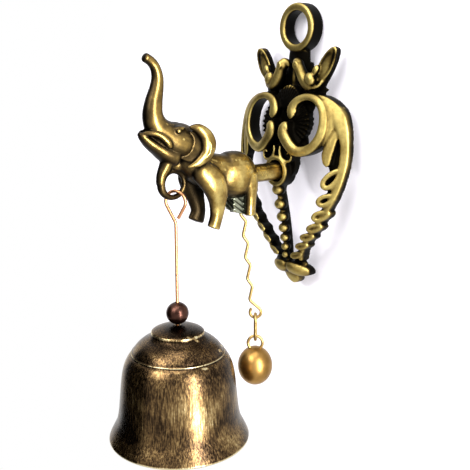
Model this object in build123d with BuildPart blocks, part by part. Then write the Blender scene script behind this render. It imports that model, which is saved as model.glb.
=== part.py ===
from build123d import *
import os
from math import acos, atan2, cos, degrees, hypot, radians, sin, sqrt

os.makedirs("parts", exist_ok=True)

# The origin is the centre of the hanging hole on the wall plane.
# X runs along the wall, Z is up, and the bell stands out towards -Y.

# Hanging ring at the top of the backplate
hang_hole_r = 5.3
ring_wall = 2.6
ring_depth = 5.4

# Domed backplate casting
arm_drop = 46.7          # hanging hole down to the arm's axis
dome_out = 13.0          # crown of the dome to the wall
dome_long_r = 98.0       # curve from top to bottom
dome_cross_r = 56.0      # curve from side to side
dome_wall = 4.2          # casting thickness at the crown
edge_wall = 2.6          # casting thickness at the outer edge
half_width = 25.9        # centre line to the widest point of a frame
scroll_x = 9.6           # centre of a C-scroll from the centre line
scroll_z = 15.4          # centre of a C-scroll above the arm's axis
scroll_r = 9.6
scroll_proud = 1.2
curl_r = 2.4
shell_sunk = 1.3         # ribbed shell below the dome
web_sunk = 2.8           # web between the scrolls below the dome
rib_depth = 0.7
shell_rib_count = 7
fan_r = 7.0
fan_rib_count = 9
groove_depth = 1.3       # fan and frame grooves below the dome
lobe_count = 7
tip_drop = 41.6          # arm's axis down to the tongue's tip

# Boss that holds the arm
boss_out = 13.7
boss_r = 5.0
cup_r = 4.1
cup_depth = 2.2
seat_fit = 0.02
seat_depth = 3.0

# Beaded column below the boss
bead_count = 7
column_bead_r = 2.1
column_end_bead_r = 1.3

# Elephant arm casting
shank_r = 2.95
rump_y = 25.0
body_half_width = 6.2
body_half_height = 7.5
leg_x = 3.7
foot_drop = 14.5
foot_r = 1.7
trunk_tip_r = 1.4
ear_r = 5.7
ear_wall = 1.1
hook_ring_r = 3.95
hook_bar_r = 1.2
hook_y = 55.0
hook_drop = 0.25

# Lug under the belly
lug_width = 4.4
lug_length = 5.2
lug_drop = 12.1
lug_y = 30.6
lug_rib_count = 5

# Bell wire
wire_r = 0.5
play = 0.1
bell_y = 54.6
eye_r = 3.25
eye_turn = 30.0
eye_neck = 6.6           # centre of the eye down to where the wire runs straight
stop_r = 1.7             # turned end under the crown

# Bead above the bell
bead_r = 3.55
bead_drop = 41.0
wire_hole_r = 0.8
bead_seat = 0.25

# Bell
bell_r = 22.5
bell_wall = 1.2
crown_r = 8.2
crown_rise = 2.0
shoulder_r = 14.4
shoulder_drop = 8.6
waist_r = 18.2
waist_drop = 18.3
skirt_r = 19.6
skirt_drop = 30.4
bell_height = 37.6

# Striker stem, link and ball
stem_turn = 50.0
stem_x = 1.2
stem_y = 29.8
stem_depth = 3.2
wave_count = 4
wave_pitch = 7.3
wave_fall = 4.7
wave_width = 1.4
wave_lean = 0.72
loop_r = 1.85
loop_drop = 45.8
link_wire_r = 0.55
link_length = 9.9
link_width = 5.0
ball_eye_r = 2.45
ball_r = 5.85
ball_half_height = 6.7
ball_flat_r = 0.6        # small flat where the eye enters
eye_rise = 1.3           # ball's top up to the centre of its eye

ARM_Z = -arm_drop
LONG_AXIS_Y = dome_long_r - dome_out


def barrel(depth, cross_r):
    """Barrel about an axis along X whose crown stands depth from the wall."""
    reach = 36.0
    edge_y = -depth + cross_r - sqrt(cross_r**2 - reach**2)
    with BuildPart() as solid:
        with BuildSketch(Plane.XY):
            with BuildLine():
                ThreePointArc((-reach, edge_y), (0, -depth), (reach, edge_y))
                Polyline((reach, edge_y), (reach, LONG_AXIS_Y), (-reach, LONG_AXIS_Y), (-reach, edge_y))
            make_face()
        revolve(axis=Axis((0, LONG_AXIS_Y, 0), (1, 0, 0)), revolution_arc=360)
    return Pos(0, 0, ARM_Z) * solid.part


def back_cross_r():
    """Cross curve of the casting's back, so that it thins to edge_wall at its edge."""
    front_edge = -dome_out + dome_cross_r - sqrt(dome_cross_r**2 - half_width**2)
    rise = front_edge + edge_wall - (dome_wall - dome_out)
    return (half_width**2 + rise**2) / (2 * rise)


def wall_plane(depth):
    """Sketch plane parallel to the wall, at a depth in front of it, centred on the arm's axis."""
    return Plane(origin=(0, -depth, ARM_Z), x_dir=(1, 0, 0), z_dir=(0, -1, 0))


DOME_FRONT = barrel(dome_out, dome_cross_r)
DOME_PROUD = barrel(dome_out + scroll_proud, dome_cross_r + scroll_proud)
DOME_SHELL = barrel(dome_out - shell_sunk, dome_cross_r - shell_sunk)
DOME_RIB = barrel(dome_out - shell_sunk - rib_depth, dome_cross_r - shell_sunk - rib_depth)
DOME_WEB = barrel(dome_out - web_sunk, dome_cross_r - web_sunk)
DOME_GROOVE = barrel(dome_out - groove_depth, dome_cross_r - groove_depth)
DOME_FAN = barrel(dome_out - groove_depth - rib_depth, dome_cross_r - groove_depth - rib_depth)
DOME_BACK = barrel(dome_out - dome_wall, back_cross_r())
SLAB = 20.0


def relief(sketch, front):
    """One relief of the casting: a flat outline cut to the dome's front and back."""
    block = extrude(sketch, amount=SLAB)
    return (block & front) - DOME_BACK


# Inner edge of one frame, right of the centre line: a bend from its top to its foot
INNER_TOP = (19.4, 5.0)
INNER_BEND = (20.4, -13.0)
INNER_END = (2.6, -30.2)


def inner_edge(t):
    """Point of the frame's inner edge, from the top (0) to the bottom (1)."""
    u = 1 - t
    x = u * u * INNER_TOP[0] + 2 * u * t * INNER_BEND[0] + t * t * INNER_END[0]
    z = u * u * INNER_TOP[1] + 2 * u * t * INNER_BEND[1] + t * t * INNER_END[1]
    return x, z


def lobe_place(k, reach):
    """Spot a reach in from the inner edge at lobe k, down its lean, with the lean and the size there."""
    s = k / (lobe_count - 1)
    x, z = inner_edge(0.235 + 0.755 * s * (1.25 - 0.25 * s))
    lean = 16 + 32 * (1 - max(s, 0)) ** 3
    length = 5.6 - 2.4 * s
    along = length * reach
    return Location((x + along * cos(radians(lean)), z + along * sin(radians(lean)), 0), (0, 0, lean)), length


def frame_sketch():
    """Flat outline of the right-hand frame with its lobes."""
    with BuildSketch(wall_plane(0)) as outline:
        with BuildLine():
            Spline(
                (9.5, 24.6), (half_width - 7.3, 22.2), (half_width - 1.1, 14.2), (half_width, 6.0),
                (half_width - 1.5, -2.6), (half_width - 4.9, -9.8), (half_width - 10.5, -17.9),
                (half_width - 16.3, -25.2), (6.4, -31.5),
                tangents=((1, 0.15), (-0.5, -0.86)),
            )
            Line((6.4, -31.5), INNER_END)
            Bezier(INNER_END, INNER_BEND, INNER_TOP)
            Polyline(INNER_TOP, (16.0, 9.0), (16.8, 15.0), (14.5, 20.5), (9.5, 24.6))
        make_face()
        for k in range(lobe_count):
            place, length = lobe_place(k, 0.5)
            with Locations(place):
                Ellipse(length * 0.5 + 1.0, length * 0.27)
    return outline.sketch


def groove_sketch():
    """An eye in each lobe, a notch between lobes, and two long grooves in the frame's shoulder."""
    with BuildSketch(wall_plane(0)) as cuts:
        for k in range(lobe_count):
            place, length = lobe_place(k, 0.5)
            with Locations(place):
                Ellipse(length * 0.46, length * 0.11)
            place, length = lobe_place(k - 0.55, 0.3)
            with Locations(place):
                SlotOverall(length * 1.3, length * 0.17)
        with Locations(Location((18.9, 12.0, 0), (0, 0, 68))):
            SlotOverall(9.5, 1.3)
        with Locations(Location((21.8, 6.6, 0), (0, 0, 68))):
            SlotOverall(7.0, 1.3)
    return cuts.sketch


def scroll_sketch():
    """Flat outline of the right-hand C-scroll: a band open towards the centre, with two curls."""
    with BuildSketch(wall_plane(0)) as outline:
        with Locations((scroll_x, scroll_z)):
            Circle(scroll_r)
        with Locations((scroll_x + 0.4, scroll_z + 0.7)):
            Ellipse(5.3, 7.2, mode=Mode.SUBTRACT)
        with Locations((scroll_x - 7.6, scroll_z + 1.2)):
            Rectangle(8.0, 5.0, mode=Mode.SUBTRACT)
        with Locations((scroll_x - 5.3, scroll_z + 4.1)):
            Circle(curl_r - 0.2)
        with Locations((scroll_x - 6.9, scroll_z - 1.9)):
            Circle(curl_r + 0.1)
    return outline.sketch


def shell_sketch():
    """Flat outline of the sunk shell that fans out from the mouth of the C-scroll."""
    with BuildSketch(wall_plane(0)) as outline:
        with Locations((scroll_x - 5.2, scroll_z + 0.6)):
            Ellipse(6.4, 7.4)
        with Locations((scroll_x, scroll_z)):
            Circle(scroll_r - 0.6, mode=Mode.INTERSECT)
    return outline.sketch


def fan_ribs(centre, reach, count, first, last, width):
    """Narrow rays that spread from one point, as a sketch."""
    with BuildSketch(wall_plane(0)) as rays:
        for k in range(count):
            angle = first + (last - first) * k / (count - 1)
            x = centre[0] + reach * 0.62 * cos(radians(angle))
            z = centre[1] + reach * 0.62 * sin(radians(angle))
            with Locations(Location((x, z, 0), (0, 0, angle))):
                SlotOverall(reach * 0.72, width)
    return rays.sketch


def mirrored(solid):
    return mirror(solid, about=Plane.YZ)


def plate_web():
    """Flat outline of the sunk web between the two scrolls."""
    with BuildSketch(wall_plane(0)) as outline:
        with Locations((0, 15.5)):
            Rectangle(7.0, 25.0)
    return outline.sketch


def fan_disc():
    with BuildSketch(wall_plane(0)) as outline:
        with Locations((0, 22.0)):
            Circle(fan_r)
    return outline.sketch


def foot_sketch():
    """Flat outline of the tongue and the two leaves at the foot."""
    with BuildSketch(wall_plane(0)) as outline:
        with Locations((0, -tip_drop + 5.4)):
            Ellipse(3.4, 5.4)
        for side in (-1, 1):
            with Locations(Location((side * 4.2, -34.2, 0), (0, 0, -side * 14))):
                Ellipse(5.0, 2.5)
    return outline.sketch


# Right-hand reliefs, made once and mirrored
frame = relief(frame_sketch(), DOME_FRONT) - (extrude(groove_sketch(), amount=SLAB) - DOME_GROOVE)
scroll = relief(scroll_sketch(), DOME_PROUD)
shell_rays = fan_ribs((scroll_x - 6.0, scroll_z + 0.6), 7.4, shell_rib_count, -62, 62, 0.5)
shell = relief(shell_sketch(), DOME_SHELL) - (extrude(shell_rays, amount=SLAB) - DOME_RIB)
web = relief(plate_web(), DOME_WEB)
fan_rays = fan_ribs((0, 21.0), fan_r, fan_rib_count, 40, 140, 0.5)
fan = relief(fan_disc(), DOME_GROOVE) - (extrude(fan_rays, amount=SLAB) - DOME_FAN)
foot = relief(foot_sketch(), DOME_FRONT)

# Backplate: ring, neck, birds, fan, scrolls, frames, boss and beaded column are one casting
with BuildPart() as backplate:
    for piece in (frame, scroll, shell):
        add(piece)
        add(mirrored(piece))
    for piece in (web, fan, foot):
        add(piece)

    # Hanging ring and its neck
    ring_r = hang_hole_r + ring_wall
    with BuildSketch(Plane.XZ):
        Circle(ring_r)
    extrude(amount=ring_depth)
    with BuildSketch(Plane.XZ.offset(1.2)):
        with BuildLine():
            Polyline(
                (-4.6, -ring_r + 1.6), (4.6, -ring_r + 1.6), (7.6, -arm_drop + 27.0),
                (-7.6, -arm_drop + 27.0), (-4.6, -ring_r + 1.6),
            )
        make_face()
    extrude(amount=4.6)

    # Pair of birds: raised wing, breast, folded wing, neck and head
    for side in (-1, 1):
        with BuildSketch(wall_plane(1.8)):
            with BuildLine():
                Spline((side * 8.6, 27.0), (side * 10.6, 33.4), (side * 16.6, 40.2), (side * 18.1, 39.6))
                Spline((side * 18.1, 39.6), (side * 18.6, 35.4), (side * 15.6, 28.6), (side * 13.0, 24.6))
                Line((side * 13.0, 24.6), (side * 8.6, 27.0))
            make_face()
        extrude(amount=4.0)
        with BuildSketch(wall_plane(4.8)):
            with Locations(Location((side * 14.9, 35.4, 0), (0, 0, side * 58))):
                SlotOverall(6.0, 1.6)
        extrude(amount=3.0, mode=Mode.SUBTRACT)
        with Locations((side * 7.9, -5.8, ARM_Z + 28.9)):
            Sphere(3.7)
        with Locations((side * 10.6, -6.9, ARM_Z + 30.6)):
            Sphere(2.0)
        with Locations((side * 3.7, -6.6, ARM_Z + 34.6)):
            Sphere(2.1)
        neck_low = Plane(origin=(side * 6.6, -5.8, ARM_Z + 29.6), z_dir=(-side * 0.45, -0.15, 0.85))
        neck_high = Plane(origin=(side * 4.1, -6.4, ARM_Z + 34.2), z_dir=(-side * 0.45, -0.15, 0.85))
        with BuildSketch(neck_low):
            Circle(2.5)
        with BuildSketch(neck_high):
            Circle(1.9)
        loft()

    # Small volutes above the boss
    for side in (-1, 1):
        with Locations(Location((side * 5.3, -dome_out + 0.9, ARM_Z + 4.9), (90, 0, 0))):
            Torus(1.7, 0.85)
    with Locations(Location((0, -dome_out + dome_wall * 0.75, ARM_Z + 4.9), (90, 0, 0))):
        Cylinder(6.6, dome_wall * 0.8)

    # Boss with its cup
    with BuildSketch(wall_plane(dome_out - dome_wall - 0.8)):
        Circle(boss_r)
    extrude(amount=boss_out - dome_out + dome_wall + 0.8)
    with BuildSketch(wall_plane(boss_out - cup_depth)):
        Circle(cup_r)
    extrude(amount=SLAB, mode=Mode.SUBTRACT)
    with BuildSketch(wall_plane(boss_out - cup_depth - seat_depth)):
        Circle(shank_r + seat_fit)
    extrude(amount=SLAB, mode=Mode.SUBTRACT)

    # Beaded column: diminishing beads on a tapering core
    column_top = (-boss_out + 1.7, -6.2)
    column_end = (-7.6, -31.5)
    heading = Vector(0, column_end[0] - column_top[0], column_end[1] - column_top[1])
    with BuildSketch(Plane(origin=(0, column_top[0] + 0.2, ARM_Z + column_top[1] + 2.0), z_dir=heading)):
        Circle(column_bead_r * 0.74)
    with BuildSketch(Plane(origin=(0, column_end[0], ARM_Z + column_end[1]), z_dir=heading)):
        Circle(column_end_bead_r * 0.8)
    loft()
    for k in range(bead_count):
        t = k / (bead_count - 1)
        t = t * (1.22 - 0.22 * t)
        bead_size = column_bead_r + (column_end_bead_r - column_bead_r) * t
        y = column_top[0] + (column_end[0] - column_top[0]) * t
        z = column_top[1] - 0.4 + (column_end[1] - column_top[1] + 1.6) * t
        with Locations((0, y, ARM_Z + z)):
            Sphere(bead_size)

    # Hanging hole, cut last so that it stays round and open
    with BuildSketch(Plane.XZ.offset(-1)):
        Circle(hang_hole_r)
    extrude(amount=ring_depth + 2, mode=Mode.SUBTRACT)

    # Nothing reaches behind the wall plane
    with Locations((0, 15, -40)):
        Box(90, 30, 140, mode=Mode.SUBTRACT)
backplate.part.label = "backplate"
export_step(backplate.part, "parts/backplate.step")


def across(y, z, lean=0.0):
    """Sketch plane across the arm at a distance from the wall and a height above its axis.

    lean tips the plane's normal upwards from straight out.
    """
    return Plane(
        origin=(0, -y, ARM_Z + z), x_dir=(1, 0, 0), z_dir=(0, -cos(radians(lean)), sin(radians(lean)))
    )


def level(x, y, z):
    """Level sketch plane under the arm."""
    return Plane(origin=(x, -y, ARM_Z + z), x_dir=(1, 0, 0), z_dir=(0, 0, 1))


# Elephant arm: shank, body, legs, head, trunk, ears, cast hook ring and lug are one casting
with BuildPart() as elephant_arm:
    # Shank seated in the boss
    with BuildSketch(wall_plane(boss_out - cup_depth - seat_depth)):
        Circle(shank_r)
    extrude(amount=rump_y + 3 - (boss_out - cup_depth - seat_depth))

    # Body from the rump to the neck
    girth = (
        (rump_y - 0.6, 0.1, 0.52, 0.42), (rump_y + 2.0, 0.4, 0.80, 0.70), (rump_y + 5.5, 0.5, 0.96, 0.93),
        (rump_y + 10.5, 0.9, 1.0, 0.99), (rump_y + 15.5, 1.9, 0.93, 0.88), (rump_y + 20.5, 3.9, 0.82, 0.74),
        (rump_y + 26.0, 7.4, 0.74, 0.66),
    )
    for y, z, wide, high in girth:
        with BuildSketch(across(y, z, 1.2 * (y - rump_y))):
            Ellipse(body_half_width * wide, body_half_height * high)
    loft()

    # Head and raised trunk in one taper
    trunk = (
        (49.5, 9.0, 30, 4.6), (52.8, 11.3, 32, 5.9), (56.6, 13.3, 40, 5.5), (60.0, 16.4, 62, 4.3),
        (61.7, 20.0, 84, 3.4), (61.7, 24.0, 96, 2.65), (60.7, 28.5, 98, 2.1), (60.4, 32.0, 84, 1.8),
        (61.8, 34.8, 45, 1.65), (64.2, 36.5, 30, trunk_tip_r),
    )
    for y, z, lean, size in trunk:
        with BuildSketch(across(y, z, lean)):
            Ellipse(size * (0.93 if size > 3 else 1.0), size)
    loft()
    with Locations((0, -64.2, ARM_Z + 36.5)):
        Sphere(trunk_tip_r)

    # Lower jaw below the open mouth
    jaw = ((57.0, 8.6, 40, 3.4, 2.6), (61.0, 10.2, 42, 2.7, 1.8), (66.4, 14.4, 44, 1.3, 0.8))
    for y, z, lean, wide, high in jaw:
        with BuildSketch(across(y, z, lean)):
            Ellipse(wide, high)
    loft()

    # Cupped ears, one each side
    for side in (-1, 1):
        outward = Plane(
            origin=(side * 4.2, -50.9, ARM_Z + 10.9), x_dir=(0, 0, 1), z_dir=(side * 0.87, -0.48, 0.08)
        )
        with BuildSketch(outward):
            Circle(ear_r * 0.62)
        with BuildSketch(outward.offset(1.5)):
            Circle(ear_r * 0.9)
        with BuildSketch(outward.offset(2.9)):
            Circle(ear_r)
        loft()
        with BuildSketch(outward.offset(1.1)):
            Circle(ear_r * 0.62 - ear_wall * 0.6)
        with BuildSketch(outward.offset(2.2)):
            Circle(ear_r * 0.9 - ear_wall)
        with BuildSketch(outward.offset(3.2)):
            Circle(ear_r - ear_wall)
        loft(mode=Mode.SUBTRACT)
    with Locations((0, -55.4, ARM_Z + 12.6)):
        Sphere(5.2)

    # Four legs
    front_near = (
        (44.0, 4.0, 3.4, 4.6), (43.0, -1.5, 3.1, 4.4), (42.2, -6.0, 2.5, 3.3), (41.7, -10.0, 1.9, 2.2),
    )
    front_far = (
        (44.5, 4.0, 3.4, 4.4), (44.2, -1.5, 3.0, 3.9), (43.2, -6.0, 2.5, 3.0), (42.9, -10.0, 2.0, 2.4),
    )
    hind = ((29.2, 2.0, 3.0, 3.8), (28.4, -2.5, 2.6, 2.8), (28.0, -6.0, 2.0, 2.1), (27.9, -10.0, 1.7, 1.9))
    for side, stations, foot_y, drop in (
        (1, front_near, 41.8, foot_drop), (-1, front_far, 43.3, foot_drop - 0.5),
        (1, hind, 28.0, foot_drop - 1.6), (-1, hind, 28.0, foot_drop - 1.6),
    ):
        for y, z, wide, deep in stations:
            with BuildSketch(level(side * leg_x, y, z)):
                Ellipse(wide, deep)
        with BuildSketch(level(side * leg_x, foot_y, -drop)):
            Circle(foot_r)
        loft()

    # Cast ring under the chin that carries the bell
    with Locations(Location((0, -hook_y, ARM_Z - hook_drop), (0, 90, 0))):
        Torus(hook_ring_r, hook_bar_r)
    with Locations((0, -hook_y, ARM_Z - hook_drop + hook_ring_r + 1.6)):
        Box(3.0, 5.2, 3.4)

    # Lug under the belly that holds the striker stem
    with BuildSketch(level(0, lug_y, -lug_drop)):
        Rectangle(lug_width, lug_length)
    extrude(amount=lug_drop - 4.0)
    for side in (-1, 1):
        for k in range(lug_rib_count):
            z = ARM_Z - lug_drop + 0.9 + k * 1.05
            with Locations(Location((side * (lug_width / 2 + 0.05), -lug_y, z), (38, 0, 0))):
                Box(0.45, lug_length * 1.6, 0.3, mode=Mode.SUBTRACT)
    with BuildSketch(Plane(origin=(stem_x, -stem_y, ARM_Z - lug_drop))):
        Circle(wire_r + seat_fit)
    extrude(amount=stem_depth, mode=Mode.SUBTRACT)
elephant_arm.part.label = "elephant_arm"
export_step(elephant_arm.part, "parts/elephant_arm.step")

# Bell wire: an open eye on the cast ring, a straight run and a turned end under the crown
CROWN_Z = ARM_Z - bead_drop - sqrt(bead_r**2 - wire_hole_r**2) - bead_seat
HOOK_Z = ARM_Z - hook_drop - hook_ring_r
EYE_Z = HOOK_Z + hook_bar_r + play + wire_r - eye_r
STOP_Z = CROWN_Z - bell_wall - 2 * play - wire_r - stop_r


def upright_plane(x, y, turn):
    """Upright plane through a plumb line, turned from the wall's direction."""
    return Plane(
        origin=(x, -y, 0), x_dir=(cos(radians(turn)), sin(radians(turn)), 0),
        z_dir=(sin(radians(turn)), -cos(radians(turn)), 0),
    )


with BuildPart() as bell_wire:
    touch = degrees(acos(eye_r / eye_neck))
    left = (eye_r * cos(radians(270 - touch)), EYE_Z + eye_r * sin(radians(270 - touch)))
    neck = (0, EYE_Z - eye_neck)
    cut_end = (-left[0] * 0.3, neck[1] + (left[1] - neck[1]) * 0.3)
    with BuildLine(upright_plane(0, bell_y, eye_turn)) as run:
        CenterArc((stop_r, STOP_Z), stop_r, 90, -270)
        FilletPolyline((0, STOP_Z), neck, left, radius=3.0)
        CenterArc((0, EYE_Z), eye_r, 270 - touch, 2 * touch - 360)
        Line((-left[0], left[1]), cut_end)
    path = Wire(run.edges())
    with BuildSketch(Plane(origin=path @ 0, z_dir=path % 0)):
        Circle(wire_r)
    sweep(path=path)
bell_wire.part.label = "bell_wire"
export_step(bell_wire.part, "parts/bell_wire.step")

# Bead that rests on the bell's crown
with BuildPart() as bead:
    with Locations((0, -bell_y, ARM_Z - bead_drop)):
        Sphere(bead_r)
        Cylinder(wire_hole_r, 3 * bead_r, mode=Mode.SUBTRACT)
bead.part.label = "bead"
export_step(bead.part, "parts/bead.step")


def bell_form(inset):
    """Half section of the bell's form, inset by a wall thickness, out from its axis."""
    lip = bell_r - inset * 0.75
    neck_r = crown_r + 0.3 - inset
    with BuildSketch(Plane(origin=(0, -bell_y, CROWN_Z), x_dir=(1, 0, 0), z_dir=(0, -1, 0))) as section:
        with BuildLine():
            ThreePointArc(
                (0, -inset), (crown_r * 0.55, -inset - crown_rise * 0.25),
                (crown_r - inset * 0.6, -crown_rise - inset),
            )
            Line((crown_r - inset * 0.6, -crown_rise - inset), (neck_r, -crown_rise - 0.8 - inset))
            Spline(
                (neck_r, -crown_rise - 0.8 - inset),
                (crown_r + 1.3 - inset * 0.8, -crown_rise - 2.0 - inset * 0.8),
                (shoulder_r - 1.9 - inset * 0.8, -shoulder_drop + 2.5 - inset * 0.7),
                (shoulder_r - inset * 0.9, -shoulder_drop - inset * 0.5),
            )
            Line(
                (shoulder_r - inset * 0.9, -shoulder_drop - inset * 0.5),
                (shoulder_r + 0.35 - inset, -shoulder_drop - 0.35 - inset * 0.4),
            )
            Spline(
                (shoulder_r + 0.35 - inset, -shoulder_drop - 0.35 - inset * 0.4),
                (waist_r - 1.3 - inset, -shoulder_drop - 3.7),
                (waist_r - inset, -waist_drop),
                (skirt_r - 0.6 - inset, -skirt_drop + 4.0),
                (skirt_r - inset, -skirt_drop - inset * 0.3),
                (lip - 0.9, -bell_height + 3.1 - inset * 0.5),
                (lip, -bell_height + 0.5 - inset * 0.4),
            )
            Polyline(
                (lip, -bell_height + 0.5 - inset * 0.4), (lip, -bell_height), (0, -bell_height), (0, -inset),
            )
        make_face()
    return section.sketch


# Bell, open below, with a hole in its crown for the wire
bell_axis = Axis((0, -bell_y, 0), (0, 0, 1))
with BuildPart() as bell:
    revolve(bell_form(0), axis=bell_axis, revolution_arc=360)
    revolve(bell_form(bell_wall), axis=bell_axis, revolution_arc=360, mode=Mode.SUBTRACT)
    with Locations((0, -bell_y, CROWN_Z)):
        Cylinder(wire_hole_r, 8 * bell_wall, mode=Mode.SUBTRACT)
bell.part.label = "bell"
export_step(bell.part, "parts/bell.step")

# Striker stem: waved wire from the lug, ending in a hook that is turned round to an eye
LUG_Z = ARM_Z - lug_drop
LOOP_Z = ARM_Z - loop_drop
LOOP_S = wave_lean * (wave_count + 0.5) + wave_width / 2 + 1.1
with BuildPart() as striker_stem:
    points = [(0, LUG_Z + stem_depth - 0.1), (0, LUG_Z - 0.5)]
    for k in range(wave_count):
        crest_z = LUG_Z - 2.8 - wave_pitch * k
        points.append((wave_width * 0.5 + 1.15 + wave_lean * k, crest_z))
        points.append((-wave_width * 0.5 + 1.5 + wave_lean * k, crest_z - wave_fall))
    last = points[-1]
    out = hypot(last[0] - LOOP_S, last[1] - LOOP_Z)
    meet = degrees(atan2(last[1] - LOOP_Z, last[0] - LOOP_S)) - degrees(acos(loop_r / out))
    points.append((LOOP_S + loop_r * cos(radians(meet)), LOOP_Z + loop_r * sin(radians(meet))))
    with BuildLine(upright_plane(stem_x, stem_y, stem_turn)) as run:
        FilletPolyline(*points, radius=1.5)
        CenterArc((LOOP_S, LOOP_Z), loop_r, meet, -(meet + 225))
    path = Wire(run.edges())
    with BuildSketch(Plane(origin=path @ 0, z_dir=path % 0)):
        Circle(wire_r)
    sweep(path=path)
striker_stem.part.label = "striker_stem"
export_step(striker_stem.part, "parts/striker_stem.step")

# Link between the stem's hook and the ball's eye
HANG_X = stem_x + LOOP_S * cos(radians(stem_turn))
HANG_Y = stem_y - LOOP_S * sin(radians(stem_turn))
LINK_TOP = LOOP_Z - loop_r + wire_r + play + link_wire_r
LINK_BOTTOM = LINK_TOP - link_length + 2 * link_wire_r
with BuildPart() as link:
    bend = link_width / 2 - link_wire_r
    with BuildLine(upright_plane(HANG_X, HANG_Y, stem_turn - 90)) as run:
        Line((bend, LINK_BOTTOM + bend), (bend, LINK_TOP - bend))
        CenterArc((0, LINK_TOP - bend), bend, 0, 180)
        Line((-bend, LINK_TOP - bend), (-bend, LINK_BOTTOM + bend))
        CenterArc((0, LINK_BOTTOM + bend), bend, 180, 180)
    path = Wire(run.edges())
    with BuildSketch(Plane(origin=path @ 0, z_dir=path % 0)):
        Circle(link_wire_r)
    sweep(path=path)
link.part.label = "link"
export_step(link.part, "parts/link.step")

# Ball's wire eye, sunk into the ball
BALL_EYE_Z = LINK_BOTTOM + link_wire_r + play + wire_r - ball_eye_r
BALL_Z = BALL_EYE_Z - eye_rise - ball_half_height
eye_place = Location(upright_plane(HANG_X, HANG_Y, stem_turn)) * Location((0, BALL_EYE_Z, 0))
with BuildPart() as ball_eye:
    with Locations(eye_place):
        Torus(ball_eye_r, wire_r)
ball_eye.part.label = "ball_eye"
export_step(ball_eye.part, "parts/ball_eye.step")

# Striker ball, slightly taller than wide
with BuildPart() as striker_ball:
    with BuildSketch(Plane(origin=(HANG_X, -HANG_Y, BALL_Z), x_dir=(1, 0, 0), z_dir=(0, -1, 0))):
        with BuildLine():
            Spline(
                (0, -ball_half_height), (ball_r * 0.707, -ball_half_height * 0.707), (ball_r, 0),
                tangents=((1, 0), (0, 1)),
            )
            Spline(
                (ball_r, 0), (ball_r * 0.707, ball_half_height * 0.707), (ball_flat_r, ball_half_height),
                tangents=((0, 1), (-1, 0)),
            )
            Polyline((ball_flat_r, ball_half_height), (0, ball_half_height), (0, -ball_half_height))
        make_face()
    revolve(axis=Axis((HANG_X, -HANG_Y, BALL_Z), (0, 0, 1)), revolution_arc=360)
    with Locations(eye_place):
        Torus(ball_eye_r, wire_r + seat_fit, mode=Mode.SUBTRACT)
striker_ball.part.label = "striker_ball"
export_step(striker_ball.part, "parts/striker_ball.step")
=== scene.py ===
import bpy
import numpy as np
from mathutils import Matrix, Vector


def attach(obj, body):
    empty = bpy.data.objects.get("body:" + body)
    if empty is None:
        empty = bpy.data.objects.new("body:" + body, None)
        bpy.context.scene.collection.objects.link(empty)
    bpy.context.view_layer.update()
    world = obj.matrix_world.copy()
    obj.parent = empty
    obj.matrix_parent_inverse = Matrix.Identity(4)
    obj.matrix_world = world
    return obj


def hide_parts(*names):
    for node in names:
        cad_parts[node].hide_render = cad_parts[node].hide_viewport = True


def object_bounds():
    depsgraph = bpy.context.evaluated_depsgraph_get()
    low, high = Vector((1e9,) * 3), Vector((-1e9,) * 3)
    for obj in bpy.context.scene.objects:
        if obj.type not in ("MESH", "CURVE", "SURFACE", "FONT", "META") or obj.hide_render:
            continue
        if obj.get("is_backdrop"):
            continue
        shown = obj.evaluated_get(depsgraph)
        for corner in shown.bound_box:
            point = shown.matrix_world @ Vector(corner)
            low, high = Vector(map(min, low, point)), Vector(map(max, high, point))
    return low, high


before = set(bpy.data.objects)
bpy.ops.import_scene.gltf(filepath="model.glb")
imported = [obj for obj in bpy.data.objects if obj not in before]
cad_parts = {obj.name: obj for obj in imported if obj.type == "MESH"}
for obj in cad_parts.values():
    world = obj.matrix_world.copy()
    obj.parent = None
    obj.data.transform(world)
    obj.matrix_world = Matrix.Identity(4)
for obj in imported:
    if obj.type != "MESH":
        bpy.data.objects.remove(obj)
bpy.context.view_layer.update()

# BACKPLATE, set down first because everything hangs from it. One brass casting, domed and pierced:
# a ring, a pair of birds, two C-scrolls with shells, two lobed frames, a cup, a beaded column and
# a leaf foot. It is blackened all over and then rubbed bright on its high places.
ARM_Z = -46.7        # mm, the arm's axis below the hanging hole; shapes below are measured from it
BARREL_Y = 85.0      # mm, how far behind the wall the dome's level line lies
CORE = 42.0          # mm, radius of the ring on which the circle below stands
SWELL = 56.0         # mm, radius of the dome's circle from side to side
BACK_Y = -0.12       # mm, no skin goes further back, so that the melted casting clears the wall


def dome(x, z):
    """y of the casting's face: a barrel about a level line 85 mm behind the wall, of radius 98 mm,
    less the sag of a 56 mm circle from side to side."""
    return BARREL_Y - np.sqrt((CORE + np.sqrt(SWELL**2 - x**2)) ** 2 - z**2)


def hollow(x, z):
    """y of the casting's back: the same barrel 4.2 mm behind the face, with a flatter 73 mm curve
    from side to side, so that the casting thins towards its edge."""
    return BARREL_Y - np.sqrt((20.8 + np.sqrt(73.0**2 - x**2)) ** 2 - z**2)


def curve(stations, count, shut=False):
    """Smooth line through stations: between two of them, the Catmull-Rom cubic of the four nearest."""
    p = np.asarray(stations, float)
    n = len(p)
    t = np.linspace(0, n if shut else n - 1, count, endpoint=not shut)
    i = np.minimum(t.astype(int), n - 1 if shut else n - 2)
    f = (t - i)[:, None]
    a, b, c, d = (p[(i + k) % n] if shut else p[np.clip(i + k, 0, n - 1)] for k in (-1, 0, 1, 2))
    return 0.5 * (2 * b + (c - a) * f + (2 * a - 5 * b + 4 * c - d) * f**2 + (3 * b - a - 3 * c + d) * f**3)


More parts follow.
